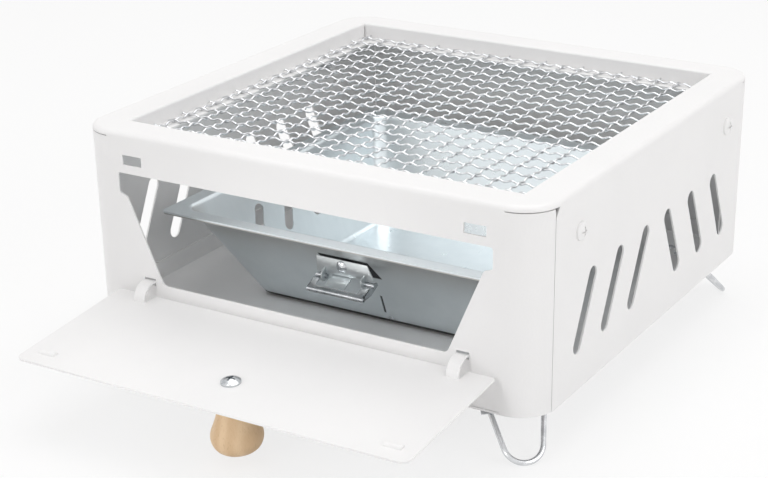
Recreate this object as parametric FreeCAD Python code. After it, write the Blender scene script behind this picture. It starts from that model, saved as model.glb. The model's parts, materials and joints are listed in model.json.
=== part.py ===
import FreeCAD, Part
import math
import os
from FreeCAD import Vector

# A portable charcoal grill folded from painted sheet, in millimetres.
# While it is drawn, x runs right from the middle, y runs back from the front face and z runs up
# from the lower edge of the body. The last lines move it onto its own origin.

# Body
body_width = 280.0
body_depth = 280.0
body_height = 111.2
body_sheet = 1.0
corner_radius = 20.0
top_bend_radius = 3.0
rim_width = 20.0
rim_flange_depth = 9.2
rim_edge_radius = 1.4

# Seams of the folded blank
seam_gap = 0.5
seam_setback = 15.6
relief_width = 3.6
relief_height = 5.4
mitre_gap = 0.5

# Window in the front panel
window_top = 88.5
window_bottom = 27.5
window_half_top = 114.0
window_half_shoulder = 109.0
window_half_bottom = 88.5
window_shoulder = 77.2
shoulder_drop = 1.8
window_top_radius = 1.5
shoulder_radius = 2.5
window_bottom_radius = 4.0
strip_half_width = 118.0

# Slots in the side panels
slot_width = 9.2
slot_top = 59.0
slot_bottom = 25.7
slot_first_top = 14.75
slot_first_bottom = 31.0
slot_pitch = 33.1
slots_each_way = 3

# Base plate
base_sheet = 1.2
base_flange_height = 12.0
base_flange_inset = 26.0
plate_gap = 0.3

# Frame that carries the grate
ledge_width = 10.2
frame_sheet = 1.0
frame_flange_height = 22.0
frame_flange_inset = 24.0

# Screws and nuts
screw_radius = 2.5
screw_clearance = 0.15
head_radius = 5.0
head_height = 2.8
recess_width = 1.1
recess_span = 5.2
recess_depth = 1.4
head_rim_height = 1.0
frame_screw_length = 10.0
frame_screw_inset = 42.7
frame_screw_drop = 14.0
nut_across_flats = 8.0
nut_thickness = 4.0
nut_clearance = 0.05

# Door and its rolled hooks
door_half_width = 117.5
door_reach = 86.9
door_heel = 0.4
door_sheet = 1.0
door_free_radius = 5.0
door_heel_radius = 2.0
door_gap = 0.3
door_droop = 4.9
hinge_setout = 1.6
hinge_height = 19.8
hook_offset = 97.5
hook_width = 7.0
hook_inner_radius = 8.4
hook_wrap = 138.0
hook_side_gap = 0.25
hook_radial_gap = 1.3
notch_side_gap = 0.7

# Snap catches of the door
catch_offset = 104.1
catch_reach = 76.2
catch_width = 10.0
catch_depth = 4.0
catch_rise = 1.5
catch_side_gap = 1.25
catch_end_gap = 0.75

# Wooden knob
knob_reach = 60.0
knob_length = 43.0
knob_foot_radius = 9.0
knob_neck_radius = 7.7
knob_neck_place = 9.0
knob_flare_radius = 10.6
knob_flare_place = 24.0
knob_head_radius = 14.7
knob_head_place = 33.4
knob_crown_radius = 12.6
knob_crown_place = 40.2
knob_end_radius = 7.8
knob_screw_head_radius = 5.3
knob_screw_length = 22.0
knob_bore_spare = 3.0

# Charcoal pan
pan_sheet = 0.6
pan_side_gap = 8.0
pan_front = 25.0
pan_back_gap = 35.0
pan_flange_width = 8.0
pan_rise = 58.8
pan_wall_run = 33.0
pan_flange_radius = 3.0
pan_wall_radius = 4.0
pan_foot_radius = 3.0
pan_slot_width = 7.5
pan_slot_low = 26.0
pan_slot_high = 46.0
pan_slot_pitch = 23.5
pan_slots_each_way = 2

# Folding pull of the pan
handle_height = 38.0
plate_half_width = 16.2
plate_sheet = 0.8
plate_stand = 1.5
plate_boss_radius = 3.4
plate_rise = 8.6
plate_drop = 4.6
plate_chamfer = 4.2
plate_chamfer_run = 2.5
ear_inset = 0.4
ear_half_height = 2.4
ear_radius = 1.6
pivot_stand = 4.0
pivot_drop = 0.8
pivot_radius = 1.5
pivot_clearance = 0.05
pivot_head_rise = 0.7
pivot_head_height = 0.8
pull_gap = 0.3
pull_reach = 17.0
pull_roll_radius = 1.5
pull_roll_bore = 0.7
pull_bar = 3.2
pull_arm = 6.2
pull_cheek = 5.0
pull_top = 2.0
pull_heel = 0.5
heel_slope = 1.4
cheek_radius = 1.0
heel_radius = 0.5
tongue_half_width = 4.6
tongue_reach = 7.0
rivet_height = 4.2
rivet_radius = 1.7
rivet_head_radius = 3.4
rivet_head_height = 1.3
rivet_clearance = 0.05
upset_radius_share = 0.75
upset_height_share = 0.6

# Wire legs and their saddles
leg_wire_radius = 1.5
leg_inset = 26.8
leg_heading = 48.0
leg_half_spacing = 15.8
leg_bend_radius = 4.0
leg_foot_radius = 10.5
leg_length = 36.3
leg_splay = 44.0
leg_wire_end = 2.5
saddle_sheet = 1.0
saddle_half_width = 11.0
saddle_clearance = 0.05
saddle_flange = 10.0
stop_half_width = 19.5
stop_inner = 13.0
stop_length = 9.0
stop_gap = 0.3
saddle_rivet_radius = 1.6
saddle_rivet_head = 3.0
saddle_rivet_rise = 1.1
saddle_rivet_spread = 6.0

# Crimped grate
wire_radius = 0.9
wire_pitch = 12.7
wire_sides = 6
grate_edge_gap = 1.5
weave_gap = 0.4
grate_seat_gap = 0.1

# Sizes that follow from those above
half_width = body_width / 2
middle_y = body_depth / 2
rim_half_x = half_width - rim_width
rim_half_y = middle_y - rim_width
ledge_top = body_height - rim_flange_depth
frame_screw_height = ledge_top - frame_screw_drop
base_top = base_sheet
pan_floor = base_top
pan_top = pan_floor + pan_rise
pan_half_width = window_half_top - pan_side_gap
pan_back = body_depth - pan_back_gap
pan_middle_y = (pan_front + pan_back) / 2
pan_slant = math.atan2(pan_wall_run, pan_rise)
ear_reach = pivot_stand + ear_half_height
door_inner_face = hinge_setout - door_gap
leg_pivot_z = -(leg_wire_radius + saddle_clearance)
floor_z = leg_pivot_z - leg_length * math.cos(math.radians(leg_splay)) - leg_wire_radius
wire_flat = wire_radius / math.cos(math.pi / wire_sides)
wave_slope = math.atan2(2 * wire_radius + weave_gap, wire_pitch)
wave_height = wire_radius / math.cos(wave_slope) + weave_gap / 2


def box(x0, x1, y0, y1, z0, z1):
    return Part.makeBox(x1 - x0, y1 - y0, z1 - z0, Vector(x0, y0, z0))


def rod(radius, start, end):
    return Part.makeCylinder(radius, (end - start).Length, start, end - start)


def joined(shapes):
    return shapes[0].fuse(shapes[1:]).removeSplitter()


def both_sides(shape):
    return [shape, shape.mirror(Vector(0, 0, 0), Vector(1, 0, 0))]


def outline(corners, place):
    """A closed wire through (u, v, radius) corners, where place turns u and v into a point."""
    edges = []
    joints = []
    count = len(corners)
    for i in range(count):
        u, v, radius = corners[i]
        here = Vector(u, v, 0)
        back = Vector(corners[i - 1][0], corners[i - 1][1], 0) - here
        ahead = Vector(corners[(i + 1) % count][0], corners[(i + 1) % count][1], 0) - here
        back.normalize()
        ahead.normalize()
        half = back.getAngle(ahead) / 2
        run = radius / math.tan(half)
        toward = back + ahead
        if radius > 0:
            toward.normalize()
        middle = here + toward * (radius / math.sin(half) - radius)
        joints.append((here + back * run, middle, here + ahead * run, radius))
    for i in range(count):
        start, middle, end, radius = joints[i]
        following = joints[(i + 1) % count][0]
        if radius > 0:
            arc = Part.Arc(place(start.x, start.y), place(middle.x, middle.y), place(end.x, end.y))
            edges.append(arc.toShape())
        edges.append(Part.LineSegment(place(end.x, end.y), place(following.x, following.y)).toShape())
    return Part.Wire(edges)


def plan(x0, x1, y0, y1, radius, z):
    corners = [(x0, y0, radius), (x1, y0, radius), (x1, y1, radius), (x0, y1, radius)]
    return outline(corners, lambda u, v: Vector(u, v, z))


def plan_prism(x0, x1, y0, y1, radius, z0, z1):
    return Part.Face(plan(x0, x1, y0, y1, radius, z0)).extrude(Vector(0, 0, z1 - z0))


def prism(corners, place, push):
    return Part.Face(outline(corners, place)).extrude(push)


def obround_x(y_top, z_top, y_low, z_low, width, reach):
    """A slot cutter through both sides, from x = -reach to x = reach."""
    low = Vector(-reach, y_low, z_low)
    top = Vector(-reach, y_top, z_top)
    across = Vector(0, z_top - z_low, y_low - y_top)
    across.normalize()
    along = top - low
    along.normalize()
    side = across * (width / 2)
    cap = along * (width / 2)
    edges = [
        Part.LineSegment(low + side, top + side).toShape(),
        Part.Arc(top + side, top + cap, top - side).toShape(),
        Part.LineSegment(top - side, low - side).toShape(),
        Part.Arc(low - side, low - cap, low + side).toShape(),
    ]
    return Part.Face(Part.Wire(edges)).extrude(Vector(2 * reach, 0, 0))


def edges_at(shape, test):
    return [edge for edge in shape.Edges if all(test(vertex.Point) for vertex in edge.Vertexes)]


# Painted body, folded from one blank

def body_block(inset, bottom):
    block = plan_prism(-half_width + inset, half_width - inset, inset, body_depth - inset,
                       corner_radius - inset, bottom, body_height - inset)
    top = edges_at(block, lambda p: abs(p.z - (body_height - inset)) < 1e-6)
    return block.makeFillet(top_bend_radius - inset, top)


def rim_block(spare, low, high):
    """The rim's inner opening as a block, larger by spare on each side."""
    x = rim_half_x + spare
    y = rim_half_y + spare
    return box(-x, x, middle_y - y, middle_y + y, low, high)


def rim_flange():
    ring = rim_block(body_sheet, ledge_top, body_height - body_sheet / 2)
    return ring.cut(rim_block(0, 0, body_height + 1))


def mitre_cuts():
    cuts = []
    reach = rim_edge_radius + body_sheet
    for x_side in (-1, 1):
        for y_side in (-1, 1):
            slit = box(-reach, reach, -mitre_gap / 2, mitre_gap / 2, ledge_top - 1, body_height - reach)
            slit.rotate(Vector(0, 0, 0), Vector(0, 0, 1), 45 * x_side * y_side)
            slit.translate(Vector(x_side * (rim_half_x + body_sheet / 2),
                                  middle_y + y_side * (rim_half_y + body_sheet / 2), 0))
            cuts.append(slit)
    return cuts


def seam_cuts():
    """The right front corner: an upright butt seam, a bend relief and a slit under the rim."""
    top = body_height - top_bend_radius
    outside = half_width + 1
    inside = half_width - body_sheet - 1
    upright = box(inside, outside, seam_setback, seam_setback + seam_gap, -1, top)
    relief = prism([(seam_setback, top, 0), (seam_setback + relief_width, top, 0),
                    (seam_setback + seam_gap / 2, top - relief_height, 0)],
                   lambda u, v: Vector(inside, u, v), Vector(outside - inside, 0, 0))
    slit = box(half_width - corner_radius, outside, -1, seam_setback + seam_gap, top - seam_gap, top)
    return [upright, relief, slit]


def rear_seam_cuts():
    """The same seam at a rear corner, where it lies in the back panel."""
    cuts = []
    for cut in seam_cuts():
        turned = cut.copy()
        turned.rotate(Vector(half_width - corner_radius, corner_radius, 0), Vector(0, 0, 1), 90)
        turned.translate(Vector(0, body_depth - 2 * corner_radius, 0))
        cuts.append(turned)
    return cuts


def window_cut():
    right = [(window_half_top, window_top, window_top_radius),
             (window_half_top, window_shoulder, window_top_radius),
             (window_half_shoulder, window_shoulder - shoulder_drop, shoulder_radius),
             (window_half_bottom, window_bottom, window_bottom_radius)]
    left = [(-x, z, radius) for x, z, radius in reversed(right)]
    return prism(right + left, lambda u, v: Vector(u, -1, v), Vector(0, body_sheet + 2, 0))


def side_slots(reach):
    cuts = []
    for side in (-1, 1):
        for k in range(slots_each_way):
            y_top = middle_y + side * (slot_first_top + slot_pitch * k)
            y_low = middle_y + side * (slot_first_bottom + slot_pitch * k)
            cuts.append(obround_x(y_top, slot_top, y_low, slot_bottom, slot_width, reach))
    return cuts


def front_panel_cuts():
    through = body_sheet + 1
    catch_z = hinge_height + catch_reach
    catch_half = catch_width / 2 + catch_side_gap
    catch_rise_half = catch_depth / 2 + catch_end_gap
    catch = box(catch_offset - catch_half, catch_offset + catch_half, -1, through,
                catch_z - catch_rise_half, catch_z + catch_rise_half)
    hook_low = hinge_height + math.sqrt(hook_inner_radius ** 2 - (hinge_setout + body_sheet) ** 2)
    hook_high = hinge_height + math.sqrt((hook_inner_radius + door_sheet) ** 2 - hinge_setout ** 2)
    hole = box(hook_offset - hook_width / 2 - hook_side_gap, hook_offset + hook_width / 2 + hook_side_gap,
               -1, through, hook_low - hook_radial_gap, hook_high + hook_radial_gap)
    strip = box(-strip_half_width, strip_half_width, -1, through, -1, base_top + plate_gap)
    return both_sides(catch) + both_sides(hole) + [strip, window_cut()]


def frame_screw_rows():
    return [frame_screw_inset, body_depth - frame_screw_inset]


def frame_screw_places():
    return [(side, y) for side in (-1, 1) for y in frame_screw_rows()]


def frame_screw_holes():
    radius = screw_radius + screw_clearance
    reach = half_width + 1
    return [rod(radius, Vector(-reach, y, frame_screw_height), Vector(reach, y, frame_screw_height))
            for y in frame_screw_rows()]


def body_shell():
    shell = body_block(0, 0).cut(body_block(body_sheet, -1))
    shell = shell.cut(rim_block(0, ledge_top, body_height + 1))
    shell = joined([shell, rim_flange()])
    edge = edges_at(shell, lambda p: abs(p.z - body_height) < 1e-6 and abs(p.x) < rim_half_x + 1e-6
                    and abs(p.y - middle_y) < rim_half_y + 1e-6)
    shell = shell.makeFillet(rim_edge_radius, edge)
    corner_cuts = []
    for cut in seam_cuts() + rear_seam_cuts():
        corner_cuts += both_sides(cut)
    cuts = front_panel_cuts() + side_slots(half_width + 1) + frame_screw_holes()
    return shell.cut(corner_cuts + mitre_cuts() + cuts)


# Base plate and grate frame

def base_plate():
    inside = half_width - body_sheet
    back = body_depth - body_sheet
    plate = plan_prism(-inside, inside, body_sheet, back, corner_radius - body_sheet, 0, base_top)
    tongue = strip_half_width - plate_gap
    front = box(-tongue, tongue, 0, 2 * body_sheet, 0, base_top)
    side = box(inside - base_sheet, inside, base_flange_inset, body_depth - base_flange_inset,
               0, base_flange_height)
    rear = box(-inside + base_flange_inset, inside - base_flange_inset, back - base_sheet, back,
               0, base_flange_height)
    plate = joined([plate, front, rear] + both_sides(side))
    return plate.cut([hole for corner in leg_corners() for hole in saddle_rivet_holes(corner)])


def grate_frame():
    inside = half_width - body_sheet
    back = body_depth - body_sheet
    ledge = plan_prism(-inside, inside, body_sheet, back, corner_radius - body_sheet,
                       ledge_top - frame_sheet, ledge_top)
    ledge = ledge.cut(rim_block(-ledge_width, 0, body_height))
    side = box(inside - frame_sheet, inside, frame_flange_inset, body_depth - frame_flange_inset,
               ledge_top - frame_flange_height, ledge_top)
    return joined([ledge] + both_sides(side)).cut(frame_screw_holes())


# Screws, rivets and nuts

def cross_recess(height):
    arm = box(-recess_span / 2, recess_span / 2, -recess_width / 2, recess_width / 2,
              height - recess_depth, height + 1)
    other = arm.copy()
    other.rotate(Vector(0, 0, 0), Vector(0, 0, 1), 90)
    return arm.fuse(other)


def crown(radius, low, high):
    """Arc of a domed head, from its edge to the axis."""
    rise = high - low
    ball = (radius ** 2 + rise ** 2) / (2 * rise)
    half = math.asin(radius / ball) / 2
    middle = Vector(ball * math.sin(half), 0, high - ball * (1 - math.cos(half)))
    return Part.Arc(Vector(radius, 0, low), middle, Vector(0, 0, high)).toShape()


def turned(points, low, high):
    """A solid of revolution: straight runs through the points, then a crown to the axis."""
    edges = [Part.LineSegment(start, end).toShape() for start, end in zip(points, points[1:])]
    edges.append(crown(points[-1].x, low, high))
    edges.append(Part.LineSegment(Vector(0, 0, high), points[0]).toShape())
    return Part.Face(Part.Wire(edges)).revolve(Vector(0, 0, 0), Vector(0, 0, 1), 360)


def screw(radius, length, head, height):
    """Head above z = 0 and shank below it."""
    points = [Vector(0, 0, -length), Vector(radius, 0, -length), Vector(radius, 0, 0), Vector(head, 0, 0),
              Vector(head, 0, head_rim_height)]
    return turned(points, head_rim_height, height).cut(cross_recess(height))


def rivet(radius, head, rise, grip):
    """Domed head above z = 0, shank down through the grip and a flat upset head below."""
    upset = head * upset_radius_share
    low = -grip - rise * upset_height_share
    points = [Vector(0, 0, low), Vector(upset, 0, low), Vector(upset, 0, -grip), Vector(radius, 0, -grip),
              Vector(radius, 0, 0), Vector(head, 0, 0)]
    return turned(points, 0, rise)


def frame_screws():
    pieces = []
    for side, y in frame_screw_places():
        piece = screw(screw_radius, frame_screw_length, head_radius, head_height)
        piece.rotate(Vector(0, 0, 0), Vector(0, 1, 0), 90 * side)
        piece.translate(Vector(side * half_width, y, frame_screw_height))
        pieces.append(piece)
    return Part.makeCompound(pieces)


def frame_nuts():
    pieces = []
    across = nut_across_flats / math.sqrt(3)
    for side, y in frame_screw_places():
        face = side * (half_width - body_sheet - frame_sheet)
        ring = [Vector(face, y + across * math.cos(math.radians(60 * k)),
                       frame_screw_height + across * math.sin(math.radians(60 * k))) for k in range(7)]
        nut = Part.Face(Part.makePolygon(ring)).extrude(Vector(-side * nut_thickness, 0, 0))
        bore = rod(screw_radius + nut_clearance, Vector(face + side, y, frame_screw_height),
                   Vector(face - side * (nut_thickness + 1), y, frame_screw_height))
        pieces.append(nut.cut(bore))
    return Part.makeCompound(pieces)


# Door, drawn level with its hinge axis at y = 0 and z = 0, then set on its hinge

def hang_door(shape):
    shape.rotate(Vector(0, 0, 0), Vector(1, 0, 0), door_droop)
    shape.translate(Vector(0, -hinge_setout, hinge_height))
    return shape


def door_hook():
    """A strip rolled round the hinge axis, from the door's face over into the body."""
    outer = hook_inner_radius + door_sheet
    left = hook_offset - hook_width / 2
    start = math.pi - math.asin((door_inner_face - door_sheet) / outer)
    wrap = math.radians(hook_wrap)
    turns = (start, start - wrap / 2, start - wrap)
    far, near = [[Vector(left, radius * math.cos(turn), radius * math.sin(turn)) for turn in turns]
                 for radius in (outer, hook_inner_radius)]
    ring = [Part.Arc(*far).toShape(), Part.LineSegment(far[-1], near[-1]).toShape(),
            Part.Arc(*reversed(near)).toShape(), Part.LineSegment(near[0], far[0]).toShape()]
    return Part.Face(Part.Wire(ring)).extrude(Vector(hook_width, 0, 0))


def door_catch():
    half = catch_depth / 2
    z = door_inner_face
    arc = Part.Arc(Vector(0, -catch_reach - half, z), Vector(0, -catch_reach, z + catch_rise),
                   Vector(0, -catch_reach + half, z)).toShape()
    chord = Part.LineSegment(Vector(0, -catch_reach + half, z), Vector(0, -catch_reach - half, z)).toShape()
    bump = Part.Face(Part.Wire([arc, chord])).extrude(Vector(catch_width, 0, 0))
    bump.translate(Vector(catch_offset - catch_width / 2, 0, 0))
    return bump


def door():
    low = door_inner_face - door_sheet
    wide = door_half_width
    corners = [(-wide, -door_reach, door_free_radius), (wide, -door_reach, door_free_radius),
               (wide, -door_heel, door_heel_radius), (-wide, -door_heel, door_heel_radius)]
    panel = prism(corners, lambda u, v: Vector(u, v, low), Vector(0, 0, door_sheet))
    half = hook_width / 2 + notch_side_gap
    notch = box(hook_offset - half, hook_offset + half, -hook_inner_radius, 1, low - 1, low + door_sheet + 1)
    panel = panel.cut(both_sides(notch))
    hole = rod(screw_radius + screw_clearance, Vector(0, -knob_reach, low - 1),
               Vector(0, -knob_reach, door_inner_face + 1))
    panel = joined([panel] + both_sides(door_hook()) + both_sides(door_catch()))
    return hang_door(panel.cut(hole))


def knob():
    face = door_inner_face - door_sheet
    flank = Part.BSplineCurve()
    flank.interpolate([Vector(knob_foot_radius, 0, 0), Vector(knob_neck_radius, 0, -knob_neck_place),
                       Vector(knob_flare_radius, 0, -knob_flare_place),
                       Vector(knob_head_radius, 0, -knob_head_place),
                       Vector(knob_crown_radius, 0, -knob_crown_place),
                       Vector(knob_end_radius, 0, -knob_length)])
    profile = Part.Wire([
        Part.LineSegment(Vector(0, 0, 0), Vector(knob_foot_radius, 0, 0)).toShape(),
        flank.toShape(),
        Part.LineSegment(Vector(knob_end_radius, 0, -knob_length), Vector(0, 0, -knob_length)).toShape(),
        Part.LineSegment(Vector(0, 0, -knob_length), Vector(0, 0, 0)).toShape(),
    ])
    turned = Part.Face(profile).revolve(Vector(0, 0, 0), Vector(0, 0, 1), 360)
    bore = rod(screw_radius + nut_clearance, Vector(0, 0, 1),
               Vector(0, 0, -knob_screw_length - knob_bore_spare))
    turned = turned.cut(bore)
    turned.translate(Vector(0, -knob_reach, face))
    return hang_door(turned)


def knob_screw():
    piece = screw(screw_radius, knob_screw_length, knob_screw_head_radius, head_height)
    piece.translate(Vector(0, -knob_reach, door_inner_face))
    return hang_door(piece)


# Charcoal pan

def pan_solid(inset, low, top, radius_change):
    """A four-sided flared block, inset from the outer face of the pan's walls."""
    rim = pan_flange_width + inset
    foot = pan_flange_width + pan_wall_run + inset
    upper = plan(-pan_half_width + rim, pan_half_width - rim, pan_front + rim, pan_back - rim,
                 pan_wall_radius - radius_change, top)
    lower = plan(-pan_half_width + foot, pan_half_width - foot, pan_front + foot, pan_back - foot,
                 pan_foot_radius - radius_change, low)
    return Part.makeLoft([lower, upper], True, True)


def charcoal_pan():
    outer = pan_solid(0, pan_floor, pan_top, 0)
    flange = plan_prism(-pan_half_width, pan_half_width, pan_front, pan_back, pan_flange_radius,
                        pan_top - pan_sheet, pan_top)
    wall = pan_sheet / math.cos(pan_slant) - pan_sheet * math.tan(pan_slant)
    inner = pan_solid(wall, pan_floor + pan_sheet, pan_top + pan_sheet, pan_sheet)
    pan = joined([outer, flange]).cut(inner)
    cuts = []
    for k in range(-pan_slots_each_way, pan_slots_each_way + 1):
        y = pan_middle_y + k * pan_slot_pitch
        half = pan_slot_width / 2
        cuts.append(obround_x(y, pan_slot_high - half, y, pan_slot_low + half, pan_slot_width, half_width))
    cuts.append(on_pan_wall(rod(rivet_radius + rivet_clearance, Vector(0, rivet_height, -3),
                                Vector(0, rivet_height, 3))))
    return pan.cut(cuts)


# Parts of the pull are drawn on the pan's front wall: x along it, y up it and z straight out of it

def on_pan_wall(shape, stand=0):
    y = pan_front + pan_flange_width + pan_wall_run - (handle_height - pan_floor) * math.tan(pan_slant)
    shape.translate(Vector(0, 0, stand))
    shape.rotate(Vector(0, 0, 0), Vector(1, 0, 0), 90 + math.degrees(pan_slant))
    shape.translate(Vector(0, y, handle_height))
    return shape


def pan_handle_plate():
    right = plate_half_width
    corners = [(-right, -plate_drop, 0), (right, -plate_drop, 0), (right, plate_rise - plate_chamfer, 0),
               (right - plate_chamfer_run, plate_rise, 0), (-right, plate_rise, 0)]
    plate = prism(corners, lambda u, v: Vector(u, v, 0), Vector(0, 0, plate_sheet))
    outer = right - ear_inset
    ear = prism([(-pivot_drop - ear_half_height, 0, 0), (-pivot_drop + ear_half_height, 0, 0),
                 (-pivot_drop + ear_half_height, ear_reach, ear_radius),
                 (-pivot_drop - ear_half_height, ear_reach, ear_radius)],
                lambda u, v: Vector(outer - plate_sheet, u, v), Vector(plate_sheet, 0, 0))
    tongue = box(-tongue_half_width, tongue_half_width, -plate_drop, plate_sheet - plate_drop,
                 0, tongue_reach)
    bore = rod(pivot_radius + pivot_clearance, Vector(-right - 3, -pivot_drop, pivot_stand),
               Vector(right + 3, -pivot_drop, pivot_stand))
    boss = rod(plate_boss_radius, Vector(0, rivet_height, -plate_stand), Vector(0, rivet_height, 0))
    hole = rod(rivet_radius + rivet_clearance, Vector(0, rivet_height, -plate_stand - 1),
               Vector(0, rivet_height, plate_sheet + 1))
    return on_pan_wall(joined([plate, boss, tongue] + both_sides(ear)).cut([bore, hole]), plate_stand)


def pan_pull():
    outer = plate_half_width + pull_gap + plate_sheet
    arm = outer - pull_arm
    back = ear_reach + pull_gap
    top = box(-outer, outer, pull_top - plate_sheet, pull_top, back, pull_reach)
    window = box(-arm, arm, 0, pull_top + 1, back - 1, pull_reach - pull_bar)
    low = pull_top - pull_cheek
    heel = pivot_stand - pull_heel
    # The lower heel of each cheek meets the pan's wall and holds the pull out.
    corners = [(pull_top, heel, 0), (pull_top, pull_reach, 0), (pull_top - pull_cheek / 2, pull_reach, 0),
               (low, pivot_stand + pull_cheek, cheek_radius), (low, pull_gap - plate_stand, heel_radius),
               (pull_top - heel_slope, pivot_stand - ear_half_height, cheek_radius)]
    cheek = prism(corners, lambda u, v: Vector(outer - plate_sheet, u, v), Vector(plate_sheet, 0, 0))
    roll_y = pull_top - pull_roll_radius
    roll = rod(pull_roll_radius, Vector(-outer, roll_y, pull_reach), Vector(outer, roll_y, pull_reach))
    core = rod(pull_roll_bore, Vector(-outer - 1, roll_y, pull_reach), Vector(outer + 1, roll_y, pull_reach))
    bore = rod(pivot_radius, Vector(-outer - 1, -pivot_drop, pivot_stand),
               Vector(outer + 1, -pivot_drop, pivot_stand))
    pull = joined([top.cut(window), roll] + both_sides(cheek))
    return on_pan_wall(pull.cut([core, bore]), plate_stand)


def pull_pins():
    outer = plate_half_width + pull_gap + plate_sheet
    inner = plate_half_width - ear_inset - plate_sheet - pivot_head_height
    y = -pivot_drop
    pin = rod(pivot_radius, Vector(inner, y, pivot_stand), Vector(outer, y, pivot_stand))
    head = rod(pivot_radius + pivot_head_rise, Vector(outer, y, pivot_stand),
               Vector(outer + pivot_head_height, y, pivot_stand))
    return on_pan_wall(Part.makeCompound(both_sides(joined([pin, head]))), plate_stand)


def pan_handle_rivet():
    grip = plate_sheet + plate_stand + pan_sheet
    piece = rivet(rivet_radius, rivet_head_radius, rivet_head_height, grip)
    piece.translate(Vector(0, rivet_height, plate_sheet))
    return on_pan_wall(piece, plate_stand)


# Wire legs. Each is drawn at the origin: x along its hinge axis, y outwards and z up

def leg_corners():
    """Name, pivot point and turn of each corner's drawing."""
    x = half_width - leg_inset
    back = body_depth - leg_inset
    return [("front_right", Vector(x, leg_inset, 0), 270 - leg_heading),
            ("rear_right", Vector(x, back, 0), 270 + leg_heading),
            ("rear_left", Vector(-x, back, 0), 90 - leg_heading),
            ("front_left", Vector(-x, leg_inset, 0), 90 + leg_heading)]


def to_corner(shape, corner):
    name, pivot, turn = corner
    shape.rotate(Vector(0, 0, 0), Vector(0, 0, 1), turn)
    shape.translate(pivot)
    return shape


def leg_path():
    """Centre line in its own plane: x along the hinge axis and y down the leg."""
    centre = leg_length - leg_foot_radius
    reach = math.hypot(leg_half_spacing, centre)
    lean = math.atan2(leg_half_spacing, centre) - math.asin(leg_foot_radius / reach)
    down = Vector(-math.sin(lean), math.cos(lean), 0)
    knee = Vector(leg_half_spacing, 0, 0)
    run = leg_bend_radius / math.tan((math.pi / 2 - lean) / 2)
    before = knee - Vector(run, 0, 0)
    after = knee + down * run
    half = (Vector(-1, 0, 0) + down)
    half.normalize()
    bend = knee + half * (leg_bend_radius / math.sin((math.pi / 2 - lean) / 2) - leg_bend_radius)
    touch = Vector(leg_foot_radius * math.cos(lean), centre + leg_foot_radius * math.sin(lean), 0)
    right = [Vector(leg_wire_end, 0, 0), before, bend, after, touch]
    left = [Vector(-p.x, p.y, 0) for p in right]
    foot = Vector(0, leg_length, 0)
    return Part.Wire([
        Part.LineSegment(right[0], right[1]).toShape(),
        Part.Arc(right[1], right[2], right[3]).toShape(),
        Part.LineSegment(right[3], right[4]).toShape(),
        Part.Arc(right[4], foot, left[4]).toShape(),
        Part.LineSegment(left[4], left[3]).toShape(),
        Part.Arc(left[3], left[2], left[1]).toShape(),
        Part.LineSegment(left[1], left[0]).toShape(),
    ])


def wire_leg(corner):
    circle = Part.Circle(Vector(leg_wire_end, 0, 0), Vector(1, 0, 0), leg_wire_radius)
    leg = leg_path().makePipeShell([Part.Wire([circle.toShape()])], True, False)
    leg.rotate(Vector(0, 0, 0), Vector(1, 0, 0), -90 + leg_splay)
    leg.translate(Vector(0, 0, leg_pivot_z))
    return to_corner(leg, corner)


def saddle_rivet_places():
    y = -leg_wire_radius - saddle_sheet - saddle_flange / 2
    return [Vector(-saddle_rivet_spread, y, 0), Vector(saddle_rivet_spread, y, 0)]


def saddle_rivet_holes(corner):
    radius = saddle_rivet_radius + rivet_clearance
    return [to_corner(rod(radius, place - Vector(0, 0, 5), place + Vector(0, 0, 5)), corner)
            for place in saddle_rivet_places()]


def leg_saddle(corner):
    inner = leg_wire_radius + saddle_clearance
    outer = inner + saddle_sheet
    wide = saddle_half_width
    arch = rod(outer, Vector(-wide, 0, leg_pivot_z), Vector(wide, 0, leg_pivot_z))
    arch = arch.common(box(-wide, wide, -outer, outer, leg_pivot_z - outer, leg_pivot_z))
    arch = arch.fuse(box(-wide, wide, -outer, outer, leg_pivot_z, 0))
    hollow = box(-wide - 1, wide + 1, -inner, inner, leg_pivot_z, 1)
    hollow = hollow.fuse(rod(inner, Vector(-wide - 1, 0, leg_pivot_z), Vector(wide + 1, 0, leg_pivot_z)))
    flange = box(-wide, wide, -inner - saddle_flange, -inner, -saddle_sheet, 0)
    shelf = box(-stop_half_width, stop_half_width, inner + stop_gap, outer + 2 * saddle_sheet,
                -saddle_sheet, 0)
    splay = math.radians(leg_splay)
    down = Vector(0, math.sin(splay), -math.cos(splay))
    out = Vector(0, math.cos(splay), math.sin(splay))
    corner_point = Vector(stop_inner, 0, leg_pivot_z) + out * (leg_wire_radius + stop_gap) + down * stop_gap
    ring = [corner_point, corner_point + down * stop_length,
            corner_point + down * stop_length + out * saddle_sheet, corner_point + out * saddle_sheet]
    stop = Part.Face(Part.makePolygon(ring + ring[:1])).extrude(Vector(stop_half_width - stop_inner, 0, 0))
    saddle = joined([arch.cut(hollow), flange, shelf] + both_sides(stop))
    return to_corner(saddle, corner).cut(saddle_rivet_holes(corner))


def saddle_rivets():
    pieces = []
    for corner in leg_corners():
        for place in saddle_rivet_places():
            grip = saddle_sheet + base_sheet
            piece = rivet(saddle_rivet_radius, saddle_rivet_head, saddle_rivet_rise, grip)
            piece.translate(place + Vector(0, 0, base_top))
            pieces.append(to_corner(piece, corner))
    return Part.makeCompound(pieces)


# Crimped grate: each wire is a zigzag of mitred lengths that passes over and under its neighbours

def crossings_each_way(half_span):
    return int(half_span / wire_pitch)


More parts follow.
